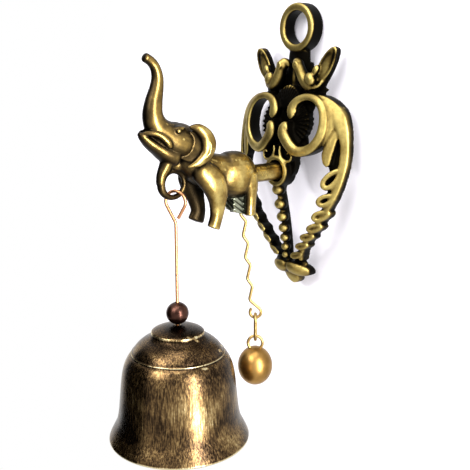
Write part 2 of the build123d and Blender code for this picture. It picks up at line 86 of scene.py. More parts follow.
def skin(rings, shut=False):
    """Closed skin over a stack of rings of equal count: each ring is joined to the next, and the two
    ends are closed by a point in their middle, or the last ring meets the first when shut.
    The faces are turned outwards by the sign of the volume that they enclose."""
    m, n = rings.shape[:2]
    k = np.arange(m * n).reshape(m, n)
    low, high = (k, np.roll(k, -1, 0)) if shut else (k[:-1], k[1:])
    a, b, c, d = low, np.roll(low, -1, 1), np.roll(high, -1, 1), high
    faces = np.concatenate([np.stack([a, b, c], -1).reshape(-1, 3), np.stack([a, c, d], -1).reshape(-1, 3)])
    verts = rings.reshape(-1, 3)
    if not shut:
        verts = np.concatenate([verts, rings[:1].mean(1), rings[-1:].mean(1)])
        ends = np.full(n, m * n)
        faces = np.concatenate([
            faces, np.stack([ends, np.roll(k[0], -1), k[0]], -1),
            np.stack([ends + 1, k[-1], np.roll(k[-1], -1)], -1)
        ])
    p, q, r = (verts[faces[:, i]] for i in range(3))
    return verts, faces[:, ::-1] if (p * np.cross(q, r)).sum() < 0 else faces


def mirrored(part):
    """The same skin on the other side of the middle plane, its faces turned back outwards."""
    return part[0] * (-1, 1, 1), part[1][:, ::-1]


def piece(name, parts, material, node, body):
    """Puts skins, in mm from the arm's axis, into one mesh in metres that stands for a CAD node.
    Nothing reaches behind the wall."""
    starts = np.cumsum([0] + [len(v) for v, _ in parts])
    verts = np.concatenate([v for v, _ in parts]) + (0, 0, ARM_Z)
    verts[:, 1] = np.minimum(verts[:, 1], BACK_Y)
    faces = np.concatenate([f + s for (_, f), s in zip(parts, starts)])
    mesh = bpy.data.meshes.new(name)
    mesh.from_pydata((verts * 0.001).tolist(), [], faces.tolist())
    mesh.shade_smooth()
    obj = bpy.data.objects.new(name, mesh)
    bpy.context.scene.collection.objects.link(obj)
    mesh.materials.append(material)
    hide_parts(node)
    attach(obj, body)
    return obj


def cast_in_one(obj, grain, passes):
    """Melts overlapping skins into one casting with small fillets: a skin of square cells, grain mm
    wide, is laid over them all and then eased by averaging each point with its neighbours."""
    melt = obj.modifiers.new("melt", "REMESH")
    melt.mode = "VOXEL"
    melt.voxel_size = grain * 0.001
    melt.use_smooth_shade = True
    ease = obj.modifiers.new("ease", "SMOOTH")
    ease.factor = 0.5
    ease.iterations = passes


ARCH = np.linspace(0, np.pi, 11)
CAST_SECTION = np.concatenate([
    np.stack([np.cos(ARCH), np.sin(ARCH)], 1), [(-1, -0.5), (-0.9, -1), (0, -1), (0.9, -1), (1, -0.5)]
])


def band(path, wide, rise, base=0.0, deep=1.0, shut=False):
    """Cast band on the dome. A section that is round above and straight-sided below is carried along
    a flat path: across it by its half width, up from the face by base and rise, and down to the
    casting's back, or a share of the way when deep is under 1."""
    flat = np.asarray(path, float)
    ahead = np.roll(flat, -1, 0) - np.roll(flat, 1, 0) if shut else np.gradient(flat, axis=0)
    ahead = ahead / np.linalg.norm(ahead, axis=1, keepdims=True)
    across = np.broadcast_to(wide, len(flat))[:, None] * CAST_SECTION[:, 0]
    x = flat[:, :1] - ahead[:, 1:] * across
    z = flat[:, 1:] + ahead[:, :1] * across
    face = dome(x, z) - np.broadcast_to(base, len(flat))[:, None]
    up = np.broadcast_to(rise, len(flat))[:, None] * np.maximum(CAST_SECTION[:, 1], 0)
    down = deep * np.maximum(-CAST_SECTION[:, 1], 0)
    y = face - up + down * (hollow(x, z) - face)
    return skin(np.stack([x, y, z], -1), shut)


def round_ends(count, first, last):
    """Share of the full width along a band whose ends are quarter circles over the given shares."""
    t = np.linspace(0, 1, count)
    start = np.sqrt(np.clip(1 - (1 - np.clip(t / max(first, 1e-6), 0, 1)) ** 2, 0, 1))
    end = np.sqrt(np.clip(1 - (1 - np.clip((1 - t) / max(last, 1e-6), 0, 1)) ** 2, 0, 1))
    return np.maximum(start * end, 0.03)


def slab(x, z, top, bottom):
    """Closed block between two faces over one grid of flat places: along each row the skin runs out
    over the top and back under the bottom."""
    over = np.stack([x, top, z], -1)
    under = np.stack([x, bottom, z], -1)[:, ::-1]
    return skin(np.concatenate([over, under], 1))


def ball(x, y, z, wide, deep, high, tilt=0.0):
    """Egg with three half sizes, tipped about the y axis."""
    v = np.linspace(0, np.pi, 19)[1:-1, None]
    u = np.linspace(0, 2 * np.pi, 32, endpoint=False)
    p = np.stack([wide * np.sin(v) * np.cos(u), deep * np.sin(v) * np.sin(u), high * np.cos(v) + 0 * u], -1)
    c, s = np.cos(np.radians(tilt)), np.sin(np.radians(tilt))
    return skin(p @ np.array([[c, 0, -s], [0, 1, 0], [s, 0, c]]) + (x, y, z))


def tube(path, wide, high, side, around=28, shut=False):
    """Ellipse carried along a path in space: its half width lies along the part of side that is
    square to the path, and its half height square to both."""
    p = np.asarray(path, float)
    run = np.roll(p, -1, 0) - np.roll(p, 1, 0) if shut else np.gradient(p, axis=0)
    run = run / np.linalg.norm(run, axis=1, keepdims=True)
    out = np.broadcast_to(side, p.shape) - run * (run @ np.asarray(side, float))[:, None]
    out = out / np.linalg.norm(out, axis=1, keepdims=True)
    up = np.cross(run, out)
    turn = np.linspace(0, 2 * np.pi, around, endpoint=False)
    w = np.broadcast_to(wide, len(p))[:, None, None] * np.cos(turn)[:, None]
    h = np.broadcast_to(high, len(p))[:, None, None] * np.sin(turn)[:, None]
    return skin(p[:, None] + w * out[:, None] + h * up[:, None], shut)


def limb(stations, side, count=40, tip=0.12, butt=0.05):
    """Tapering form through stations of x, y, z, half width and half height, with rounded ends."""
    s = curve(stations, count)
    share = round_ends(count, butt, tip)
    return tube(s[:, :3], s[:, 3] * share, s[:, 4] * share, side)


right = []
# C-scroll: from its upper knob over the top, down the spine, round the bottom and up into the
# lower knob, where the band is widest
scroll = curve((
    (5.6, 18.2, 1.5, -0.4), (4.7, 19.0, 1.9, -0.4), (4.3, 20.8, 1.9, -0.3), (5.4, 22.8, 1.55, -0.1),
    (7.8, 24.2, 1.25, 0.1), (10.6, 24.6, 1.15, 0.4), (13.8, 23.8, 1.2, 0.8), (16.4, 21.6, 1.35, 1.1),
    (17.7, 18.4, 1.4, 1.3), (17.8, 14.8, 1.5, 1.2), (16.8, 11.6, 1.6, 1.0), (14.6, 8.9, 1.6, 0.8),
    (11.8, 7.5, 1.65, 0.7), (9.0, 7.3, 1.75, 0.8), (6.5, 8.6, 1.9, 0.9), (4.4, 10.8, 2.0, 1.0),
    (3.0, 13.0, 2.1, 1.1), (3.3, 14.7, 1.9, 1.1), (4.9, 15.3, 1.5, 0.9),
), 160)
right.append(band(scroll[:, :2], scroll[:, 2] * round_ends(len(scroll), 0.035, 0.035),
                  0.55 * scroll[:, 2], scroll[:, 3]))

# Shell in the scroll's mouth: thin ribs that fan out over a sunk floor, with a gap before the spine
u, v = np.meshgrid(np.linspace(-1.3, 1.3, 160), np.linspace(0, 1, 30), indexing="ij")
rib = np.abs(np.cos(u * 14 / 2.6 * np.pi)) ** 2
reach = 8.0 + 0.35 * rib - 1.1 * np.abs(u)
x, z = 2.8 + reach * v * np.cos(u), 15.9 + reach * v * np.sin(u) * 1.15
top = dome(x, z) + 2.1 - 0.3 * v - 0.75 * rib * np.clip(v * 1.6, 0, 1)
right.append(slab(x, z, top, np.maximum(hollow(x, z), top + 0.8)))
# Sunk floor above and below the shell
for line in (((4.5, 21.4), (8.0, 22.0), (10.6, 21.4)), ((4.5, 10.2), (7.5, 9.4), (10.0, 9.6))):
    right.append(band(curve(line, 20), 1.7, 0.1, -2.7))

# Shoulder, which slopes from the scroll's spine to the first long groove
shoulder = curve(((16.0, 23.6, 1.0), (18.6, 20.6, 2.1), (19.3, 17.0, 1.9), (18.3, 13.0, 1.5),
                  (16.9, 10.0, 1.0), (15.6, 8.0, 0.5)), 50)
right.append(band(shoulder[:, :2], shoulder[:, 2] * round_ends(len(shoulder), 0.05, 0.1),
                  0.25 * shoulder[:, 2], 0.55))
# Outer rail of the frame, broad at the shoulder and slim below
rail = curve((
    (12.2, 25.0, 0.5, 0.0), (15.4, 24.0, 1.1, 0.1), (18.6, 21.8, 1.9, 0.2), (21.3, 18.8, 2.3, 0.3),
    (23.1, 15.2, 1.9, 0.2), (24.3, 11.0, 1.4, 0.1), (24.6, 6.6, 1.3, 0.0), (24.2, 2.6, 1.3, 0.0),
    (23.3, -1.6, 1.2, 0.0), (22.0, -5.6, 1.05, 0.0), (20.2, -9.4, 0.9, 0.0), (17.8, -13.4, 0.75, 0.0),
    (15.1, -17.3, 0.7, -0.1), (12.1, -21.2, 0.65, -0.2), (9.4, -24.6, 0.65, -0.3),
    (7.4, -28.0, 0.7, -0.4), (6.2, -30.8, 0.8, -0.5),
), 150)
right.append(band(rail[:, :2], rail[:, 2] * round_ends(len(rail), 0.03, 0.02),
                  0.35 * rail[:, 2], rail[:, 3]))

# Finger between the two long grooves, with its tip over the first lobe
finger = curve(((22.2, 16.4, 0.5), (21.5, 13.4, 1.0), (20.3, 10.2, 1.55), (19.5, 7.2, 1.75),
                (19.4, 4.8, 1.4), (19.9, 3.0, 0.9)), 50)
right.append(band(finger[:, :2], finger[:, 2] * round_ends(len(finger), 0.1, 0.15),
                  0.45 * finger[:, 2], 0.1))
# Sunk floor of the grooves
groove_floor = curve(((20.6, 17.6, 1.6), (20.0, 12.0, 2.6), (20.6, 6.0, 2.6), (21.3, 1.0, 1.9),
                      (20.9, -3.6, 1.8), (19.6, -8.0, 1.6), (17.4, -13.0, 1.5), (14.7, -17.4, 1.35),
                      (11.5, -21.3, 1.25), (8.7, -24.8, 1.2), (5.9, -28.6, 1.2), (4.7, -30.6, 1.2)), 90)
right.append(band(groove_floor[:, :2], groove_floor[:, 2], 0.1, -1.5))

# Lobes down the frame's inner side: slanting loops, each round a narrow eye, smaller and smaller
lobes = ((21.2, -0.9, 3.5, 1.45, 50, 0.72), (19.4, -7.8, 2.75, 1.2, 30, 0.66),
         (17.3, -13.3, 2.7, 1.08, 27, 0.6), (14.6, -17.8, 2.35, 0.9, 23, 0.54),
         (11.4, -21.4, 2.15, 0.78, 17, 0.5), (8.6, -25.0, 2.05, 0.72, 19, 0.47),
         (5.5, -28.9, 2.2, 0.7, 21, 0.45))
for cx, cz, long, short, lean, width in lobes:
    a = np.linspace(0, 2 * np.pi, 48, endpoint=False)
    c, s = np.cos(np.radians(lean)), np.sin(np.radians(lean))
    lx, lz = long * np.cos(a), short * np.sin(a) * (1 - 0.2 * np.cos(a))
    loop = np.stack([cx + lx * c - lz * s, cz + lx * s + lz * c], 1)
    right.append(band(loop, 1.2 * width, 0.9 * width, 0.05 - 0.25 * np.cos(a), shut=True))

# Leaf at the foot: its flat face is drawn in towards the tip
leaf = curve(((-0.4, -34.3, 1.5, -0.2), (1.6, -34.2, 2.3, -0.1), (4.2, -34.5, 2.5, -0.3),
              (6.6, -34.8, 2.1, -0.9), (8.5, -35.1, 1.1, -1.6)), 36)
right.append(band(leaf[:, :2], leaf[:, 2] * round_ends(len(leaf), 0.1, 0.1), 0.8 * leaf[:, 2], leaf[:, 3]))
right.append(limb(((2.6, -5.6, -31.0, 1.0, 1.0), (4.8, -5.0, -31.8, 1.4, 1.3),
                   (7.2, -4.6, -33.2, 1.2, 1.1)), (1, 0, 1), 20, 0.2, 0.2))

# Small volute above the cup
volute = curve(((1.6, 8.6, 0.35), (1.3, 6.8, 0.5), (2.1, 4.8, 0.5), (4.2, 3.6, 0.5), (6.1, 3.9, 0.45),
                (6.7, 5.4, 0.4), (5.8, 6.5, 0.4), (4.8, 6.0, 0.35)), 50)
right.append(band(volute[:, :2], volute[:, 2] * round_ends(len(volute), 0.05, 0.08), 0.6, 0.0))

# Bird: breast, upright neck, round head with a beak turned down and a ringed eye
right.append(limb(((9.8, -4.8, 27.2, 3.0, 2.6), (8.0, -5.8, 28.6, 2.9, 2.7),
                   (6.2, -6.6, 30.4, 2.3, 2.2), (5.1, -7.0, 32.2, 1.85, 1.9),
                   (4.2, -7.2, 34.0, 1.8, 1.8), (3.2, -7.0, 35.4, 1.7, 1.6),
                   (2.0, -6.6, 35.3, 1.1, 1.1), (1.2, -6.4, 34.0, 0.45, 0.45)),
                  (0, 1, 0.2), 48, 0.06, 0.1))
right.append(ball(3.7, -7.1, 34.7, 1.9, 1.9, 2.0))
a = np.linspace(0, 2 * np.pi, 24, endpoint=False)
right.append(tube(np.stack([3.9 + 0.85 * np.cos(a), -8.95 + 0.12 * np.cos(a), 34.6 + 1.05 * np.sin(a)], 1),
                  0.26, 0.26, (0, 1, 0), 10, True))
right.append(ball(3.9, -8.95, 34.6, 0.4, 0.4, 0.55))
# Folded wing: two drops, one behind the other, with a rolled lower edge
right.append(ball(9.7, -7.6, 30.2, 1.9, 1.5, 2.3, -35))
right.append(ball(11.4, -6.9, 33.0, 1.1, 1.1, 1.9, 30))
right.append(limb(((7.4, -7.2, 31.4, 0.5, 0.5), (7.8, -7.4, 28.9, 0.6, 0.6),
                   (9.6, -7.2, 27.4, 0.7, 0.6), (12.0, -6.4, 27.9, 0.6, 0.6),
                   (13.6, -5.8, 30.2, 0.5, 0.5)), (0, 1, 0), 36, 0.15, 0.15))
# Raised wing: a broad leaf with a rolled rim round its sunk field
wing = curve(((9.9, -4.4, 27.2, 2.2), (12.0, -4.6, 30.6, 2.9), (14.2, -4.4, 34.2, 3.0),
              (16.0, -4.0, 37.4, 2.5), (17.6, -3.6, 40.2, 1.2)), 40)
share = round_ends(len(wing), 0.1, 0.12)
right.append(tube(wing[:, :3], wing[:, 3] * share, 1.7 * share, (0.85, 0, -0.52)))
a = np.linspace(0, 2 * np.pi, 48, endpoint=False)
edge_x, edge_z = 5.4 * np.cos(a), 2.35 * np.sin(a) * (1 - 0.15 * np.cos(a))
rim = np.stack([14.9 + 0.53 * edge_x + 0.85 * edge_z, -5.4 + 0.06 * edge_x,
                35.2 + 0.85 * edge_x - 0.53 * edge_z], 1)
right.append(tube(rim, 0.55, 0.5, (0, 1, 0), 12, True))
right.append(ball(16.0, -5.2, 37.0, 0.7, 0.6, 1.5, 32))
right.append(ball(13.9, -5.4, 33.6, 0.8, 0.7, 1.7, 32))
# Sunk wall behind the bird
right.append(band(curve(((4.0, 35.0), (6.0, 31.0), (9.5, 27.0), (12.5, 24.5)), 20),
                  np.linspace(1.6, 3.2, 20), 0.1, -3.0))

# Fan between the scroll tops
u, v = np.meshgrid(np.linspace(0.3, np.pi - 0.3, 140), np.linspace(0.1, 1, 24), indexing="ij")
x, z = 6.6 * v * np.cos(u), 19.8 + 8.4 * v * np.sin(u)
top = dome(x, z) + 1.7 - 0.5 * np.abs(np.cos(u * 13 / 2.54 * np.pi)) ** 2 * np.clip(2 * v, 0, 1)
fan = slab(x, z, top, np.maximum(hollow(x, z), top + 1))

parts = [fan]
for part in right:
    parts += [part, mirrored(part)]

# Web between the scrolls, and the disc behind the volutes and the cup
x, z = np.meshgrid(np.linspace(-4.4, 4.4, 20), np.linspace(3.0, 27.0, 40), indexing="ij")
parts.append(slab(x, z, dome(x, z) + 2.8, hollow(x, z)))
u, v = np.meshgrid(np.linspace(0, 2 * np.pi, 40, endpoint=False), np.linspace(0.02, 1, 12), indexing="ij")
x, z = 6.9 * v * np.cos(u), 3.0 + 6.6 * v * np.sin(u)
face, back = dome(x, z) + 1.6, hollow(x, z)
disc = np.concatenate([np.stack([x, face, z], -1), np.stack([x, back, z], -1)[:, ::-1]], 1)
parts.append(skin(disc.swapaxes(0, 1)))

# Cup: a turned rim with a shallow sunk seat for the arm's shank
turn = np.linspace(0, 2 * np.pi, 48, endpoint=False)
cup = np.array(((2.97, 8.6), (5.3, 8.6), (5.3, 12.9), (5.2, 13.5), (4.7, 13.9), (4.1, 13.9), (3.6, 13.4),
                (3.5, 12.4), (2.97, 12.2)))
parts.append(skin(np.stack([cup[:, :1] * np.cos(turn), -cup[:, 1:] + 0 * turn, cup[:, :1] * np.sin(turn)],
                           -1), True))

# Column of beads that dwindle towards the foot, on a thin tapering core
beads = np.array(((-14.0, -6.4, 2.25), (-12.9, -11.5, 2.2), (-11.8, -16.0, 2.1), (-10.9, -20.0, 1.95),
                  (-10.2, -23.5, 1.8), (-9.6, -26.8, 1.65), (-9.2, -29.7, 1.45)))
for y, z, r in beads:
    parts.append(ball(0, y + r, z, r * 1.05, r, r * 0.88))
core = np.column_stack([0 * beads[:, 0], beads[:, 0] + 3.6, beads[:, 1], beads[:, 2] * 0.55,
                        beads[:, 2] * 0.9])
core = np.concatenate([[(0, -9.4, -3.0, 1.6, 2.2)], core, [(0, -6.4, -33.0, 0.9, 1.6)]])
parts.append(limb(core, (1, 0, 0), 60))

# Tongue below the leaves
tongue = curve(((-0.4, -32.0, 2.2, -1.6), (-0.5, -35.0, 3.3, -1.3), (-0.5, -38.2, 3.2, -1.1),
                (-0.4, -40.8, 1.8, -1.3)), 30)
parts.append(band(tongue[:, :2], tongue[:, 2] * round_ends(len(tongue), 0.1, 0.2), 0.9, tongue[:, 3]))

# Neck behind the birds, and the hanging ring with its plain round hole
neck = np.array(((0, -3.4, 23.0, 8.0, 2.2), (0, -3.4, 28.0, 6.6, 2.1), (0, -3.2, 33.0, 5.2, 2.0),
                 (0, -2.8, 39.6, 4.4, 2.2)))
parts.append(limb(neck, (1, 0, 0), 30, 0.02, 0.02))
parts.append(limb(((0, -4.4, 26.0, 1.6, 1.3), (0, -4.8, 31.0, 1.1, 1.1), (0, -4.4, 37.5, 0.7, 0.9)),
                  (1, 0, 0), 30, 0.1, 0.1))
lip = np.array(((5.3, 0.0), (5.3, 4.6), (5.45, 5.1), (5.9, 5.35), (6.6, 5.4), (7.3, 5.38), (7.75, 5.1),
                (7.9, 4.6), (7.9, 0.4), (7.6, 0.0)))
parts.append(skin(np.stack([lip[:, :1] * np.cos(turn), -lip[:, 1:] + 0 * turn,
                            -ARM_Z + lip[:, :1] * np.sin(turn)], -1), True))


def colour(text):
    """sRGB hex to the linear values that the shader takes."""
    c = np.array([int(text[i:i + 2], 16) / 255 for i in (1, 3, 5)])
    return tuple(np.where(c <= 0.04045, c / 12.92, ((c + 0.055) / 1.055) ** 2.4)) + (1.0,)


def add(tree, kind, settings=None, **links):
    """Adds one node. settings are its properties, its socket values or, as stops, a colour ramp's
    places and hex colours; links join its inputs to outputs."""
    n = tree.nodes.new(kind)
    for key, value in (settings or {}).items():
        if key == "stops":
            while len(n.color_ramp.elements) < len(value):
                n.color_ramp.elements.new(0.5)
            for stop, (place, tone) in zip(n.color_ramp.elements, value):
                stop.position = place
                stop.color = colour(tone)
        elif isinstance(key, str) and hasattr(n, key) and key not in n.inputs:
            setattr(n, key, value)
        else:
            n.inputs[key].default_value = value
    for key, source in links.items():
        n_in = n.inputs[int(key[1:])] if key[0] == "_" else n.inputs[key.replace("_", " ")]
        tree.links.new(n_in, source)
    return n


def new_material(name):
    """Material of that name, and its node tree with nothing in it yet."""
    mat = bpy.data.materials.new(name)
    mat.use_nodes = True
    mat.node_tree.nodes.clear()
    return mat, mat.node_tree


def rubbed_brass(name, tones, reach, rough, patchy, wear_and_shade_share, patch=None):
    """Blackened brass, rubbed by hand. How open a place is to the air within reach mm, how sharp its
    edge is, and wear_and_shade_share, which is the piece's own share and on the elephant also painted
    shade, give how far the black is worn through. Noise of about 1 mm and, by patchy, 6 mm breaks the
    change up. patch lays another tone over a part, on the elephant the lug's painted shade."""
    mat, t = new_material(name)
    where = add(t, "ShaderNodeTexCoord").outputs["Object"]
    form = add(t, "ShaderNodeNewGeometry").outputs
    open_to = add(t, "ShaderNodeAmbientOcclusion", {"samples": 12, "only_local": True,
                                                    "Distance": reach * 0.001}).outputs["AO"]
    grit = add(t, "ShaderNodeTexNoise", {"Scale": 1100.0, "Detail": 5.0, "Roughness": 0.65},
               Vector=where).outputs["Fac"]
    cloud = add(t, "ShaderNodeTexNoise", {"Scale": 170.0, "Detail": 3.0}, Vector=where).outputs["Fac"]
    worn = open_to
    for share in (
        add(t, "ShaderNodeMapRange", {"From Min": 0.46, "From Max": 0.56, "To Min": -0.22, "To Max": 0.28},
            Value=form["Pointiness"]),
        add(t, "ShaderNodeMapRange", {"To Min": -0.14, "To Max": 0.14}, Value=grit),
        add(t, "ShaderNodeMapRange", {"From Min": 0.25, "From Max": 0.75, "To Min": -patchy,
                                      "To Max": patchy}, Value=cloud),
        # The piece's share; on the elephant it holds painted shade on what faces along the arm, down or
        # inwards
        wear_and_shade_share(t, where, form["Normal"]),
    ):
        worn = add(t, "ShaderNodeMath", {"operation": "ADD"}, _0=worn, _1=share.outputs[0]).outputs[0]
    worn = add(t, "ShaderNodeMath", {"operation": "MULTIPLY", 1: 0.8}, _0=worn).outputs[0]
    tone = add(t, "ShaderNodeValToRGB", {"stops": tones}, _0=worn).outputs[0]
    if patch:
        tone = patch(t, where, worn, tone)
    gloss = add(t, "ShaderNodeMapRange", {"To Min": rough + 0.2, "To Max": rough}, Value=worn).outputs[0]
    bump = add(t, "ShaderNodeBump", {"Strength": 0.3, "Distance": 0.00008}, Height=grit).outputs[0]
    metal = add(t, "ShaderNodeBsdfPrincipled", {"Metallic": 1.0}, Base_Color=tone, Roughness=gloss,
                Normal=bump)
    add(t, "ShaderNodeOutputMaterial", Surface=metal.outputs[0])
    return mat


def plate_share(t, where, normal):
    """How much less the plate is rubbed: by up to 1.1 where a place lies 0.4 to 1.5 mm below the
    dome, or 2.3 to 3.4 mm on the bead column, or behind the birds' fronts, and by up to 0.8 where
    it faces along the wall. The frame's outer edge, beyond x = 24.8 + 0.654 z or x = 21, takes less
    than a third of both. The depth below the dome, in mm from the arm's axis, is y - 85 + the root
    of ((42 + the root of (56 squared - x squared)) squared - z squared)."""
    in_mm = {"operation": "MULTIPLY_ADD", 1: (1000, 1000, 1000), 2: (0, 0, -ARM_Z)}
    spot = add(t, "ShaderNodeVectorMath", in_mm, _0=where).outputs[0]
    place = add(t, "ShaderNodeSeparateXYZ", _0=spot).outputs
    aside_x = add(t, "ShaderNodeMath", {"operation": "ABSOLUTE"}, _0=place["X"]).outputs[0]
    inner = add(t, "ShaderNodeMath", {"operation": "MULTIPLY"}, _0=place["X"], _1=place["X"]).outputs[0]
    inner = add(t, "ShaderNodeMath", {"operation": "SUBTRACT", 0: SWELL**2}, _1=inner).outputs[0]
    inner = add(t, "ShaderNodeMath", {"operation": "POWER", 1: 0.5}, _0=inner).outputs[0]
    inner = add(t, "ShaderNodeMath", {"operation": "ADD", 1: CORE}, _0=inner).outputs[0]
    inner = add(t, "ShaderNodeMath", {"operation": "MULTIPLY"}, _0=inner, _1=inner).outputs[0]
    height = add(t, "ShaderNodeMath", {"operation": "MULTIPLY"}, _0=place["Z"], _1=place["Z"]).outputs[0]
    inner = add(t, "ShaderNodeMath", {"operation": "SUBTRACT"}, _0=inner, _1=height).outputs[0]
    inner = add(t, "ShaderNodeMath", {"operation": "POWER", 1: 0.5}, _0=inner).outputs[0]
    depth = add(t, "ShaderNodeMath", {"operation": "ADD"}, _0=place["Y"], _1=inner).outputs[0]
    near = add(t, "ShaderNodeMapRange", {"From Min": 3.4, "From Max": 4.0, "To Min": 1.0, "To Max": 0.0},
               Value=aside_x).outputs[0]
    under = add(t, "ShaderNodeMapRange", {"From Min": -4.0, "From Max": -3.0, "To Min": 1.0, "To Max": 0.0},
                Value=place["Z"]).outputs[0]
    column = add(t, "ShaderNodeMath", {"operation": "MULTIPLY"}, _0=near, _1=under).outputs[0]
    column = add(t, "ShaderNodeMath", {"operation": "MULTIPLY_ADD", 1: -1.9, 2: -BARREL_Y},
                 _0=column).outputs[0]
    depth = add(t, "ShaderNodeMath", {"operation": "ADD"}, _0=depth, _1=column).outputs[0]
    sunk = add(t, "ShaderNodeMapRange", {"From Min": 0.4, "From Max": 1.5}, Value=depth).outputs[0]
    low = add(t, "ShaderNodeMapRange", {"From Min": 26.0, "From Max": 28.5, "To Min": 1.0, "To Max": 0.0},
              Value=place["Z"]).outputs[0]
    sunk = add(t, "ShaderNodeMath", {"operation": "MULTIPLY"}, _0=sunk, _1=low).outputs[0]
    behind = add(t, "ShaderNodeMapRange", {"From Min": -6.0, "From Max": -5.0}, Value=place["Y"]).outputs[0]
    high = add(t, "ShaderNodeMapRange", {"From Min": 26.0, "From Max": 28.5}, Value=place["Z"]).outputs[0]
    ring = {"From Min": 38.0, "From Max": 39.5, "To Min": 1.0, "To Max": 0.0}
    under_ring = add(t, "ShaderNodeMapRange", ring, Value=place["Z"]).outputs[0]
    behind = add(t, "ShaderNodeMath", {"operation": "MULTIPLY"}, _0=behind, _1=high).outputs[0]
    behind = add(t, "ShaderNodeMath", {"operation": "MULTIPLY"}, _0=behind, _1=under_ring).outputs[0]
    hidden = add(t, "ShaderNodeMath", {"operation": "MAXIMUM"}, _0=sunk, _1=behind).outputs[0]
    facing = add(t, "ShaderNodeVectorMath", {"operation": "DOT_PRODUCT", 1: (0, -1, 0.15)},
                 _0=normal).outputs["Value"]
    aside = add(t, "ShaderNodeMapRange", {"From Min": 0.0, "From Max": 0.7, "To Min": -0.8, "To Max": 0.0},
                Value=facing).outputs[0]
    limit = add(t, "ShaderNodeMath", {"operation": "MULTIPLY_ADD", 1: 0.654, 2: 24.8},
                _0=place["Z"]).outputs[0]
    limit = add(t, "ShaderNodeMath", {"operation": "MINIMUM", 1: 21.0}, _0=limit).outputs[0]
    limit = add(t, "ShaderNodeMath", {"operation": "SUBTRACT"}, _0=aside_x, _1=limit).outputs[0]
    less = add(t, "ShaderNodeMapRange", {"From Min": -0.5, "From Max": 0.7, "To Min": 1.0, "To Max": 0.3},
               Value=limit).outputs[0]
    hidden = add(t, "ShaderNodeMath", {"operation": "MULTIPLY"}, _0=hidden, _1=less).outputs[0]
    aside = add(t, "ShaderNodeMath", {"operation": "MULTIPLY"}, _0=aside, _1=less).outputs[0]
    return add(t, "ShaderNodeMath", {"operation": "MULTIPLY_ADD", 1: -1.1}, _0=hidden, _2=aside)


# Nearly black in every hollow, and yellow with a dry shine on every rib and rim
cast_tones = ((0.34, "#0b0906"), (0.56, "#4a3c1c"), (0.72, "#8a7540"), (0.90, "#c2ad66"))
cast_brass = rubbed_brass("rubbed_cast_brass", cast_tones, 3.2, 0.42, 0.12, plate_share)
backplate = piece("backplate_casting", parts, cast_brass, "backplate", "bracket")
cast_in_one(backplate, 0.325, 2)

# ELEPHANT ARM: one brass casting that stands out from the cup on its shank, holds the bell on the
# ring under its chin and the striker in the ribbed lug under its belly. It is blackened, then
# buffed on its flanks, legs and ears, less on its head and trunk; what faces along the arm, down
# or inwards carries painted shade, and the lug a dark grey-green painted shade.
side = (1, 0, 0)
arm = []
arm.append(limb(((0, -8.5, 0, 2.95, 2.95), (0, -12, 0, 2.95, 2.95), (0, -20, 0, 2.95, 2.95),
                 (0, -23, 0, 2.95, 2.95), (0, -28, 0, 3.2, 3.2)), side, 40, 0.01, 0.01))
arm.append(limb(((0, -24.9, 0.2, 2.4, 2.8), (0, -26.4, 0.4, 4.6, 5.6), (0, -29.0, 0.4, 6.1, 7.2),
                 (0, -32.6, 0.6, 6.6, 7.6), (0, -36.2, 0.9, 6.0, 7.0), (0, -38.8, 1.6, 5.0, 6.2),
                 (0, -41.5, 2.4, 4.9, 5.9), (0, -45.5, 4.1, 4.9, 5.5), (0, -50.0, 7.2, 4.7, 5.0),
                 (0, -52.5, 9.5, 4.4, 4.8)), side, 90, 0.08, 0.03))
# Head running into the raised trunk, which ends in a rounded nostril
arm.append(limb(((0, -49.0, 10.6, 4.4, 4.6), (0, -52.0, 12.0, 5.0, 5.6), (0, -55.4, 13.2, 4.8, 5.3),
                 (0, -58.6, 14.9, 4.1, 4.5), (0, -61.0, 17.4, 3.4, 3.7), (0, -62.1, 20.6, 2.9, 3.15),
                 (0, -61.6, 24.4, 2.4, 2.7), (0, -60.6, 28.0, 2.0, 2.15), (0, -60.2, 31.2, 1.75, 1.8),
                 (0, -60.9, 33.9, 1.55, 1.55), (0, -62.4, 35.7, 1.45, 1.45),
                 (0, -64.8, 37.0, 1.45, 1.4)), side, 120, 0.03, 0.05))
# Lower jaw, drawn out to a point that meets the trunk, with a narrow slit of a mouth over it
arm.append(limb(((0, -54.0, 8.0, 3.9, 3.4), (0, -57.6, 9.0, 3.7, 2.9), (0, -60.8, 10.8, 3.1, 2.2),
                 (0, -63.6, 12.6, 2.4, 1.7), (0, -65.7, 14.4, 1.7, 1.2), (0, -67.0, 15.8, 0.9, 0.6)),
                side, 60, 0.1, 0.1))
arm.append(limb(((0, -58.0, 12.2, 2.4, 1.9), (0, -61.3, 13.6, 2.2, 1.5), (0, -63.6, 15.8, 1.6, 1.1)),
                side, 24, 0.2, 0.1))
for s in (1, -1):
    # Lip, which runs from the jaw's tip back to the cheek, and the cheek above it
    arm.append(limb(((s * 0.8, -66.4, 15.6, 0.5, 0.6), (s * 2.0, -64.4, 15.6, 0.6, 0.8),
                     (s * 3.0, -62.0, 15.0, 0.8, 0.9), (s * 3.7, -59.8, 13.2, 0.9, 1.0),
                     (s * 3.9, -58.4, 11.0, 0.8, 1.0)), side, 30, 0.2, 0.2))
    arm.append(ball(s * 4.55, -56.2, 15.9, 0.7, 0.8, 0.7))
    arm.append(ball(s * 3.2, -55.2, 16.5, 1.5, 2.2, 0.9))
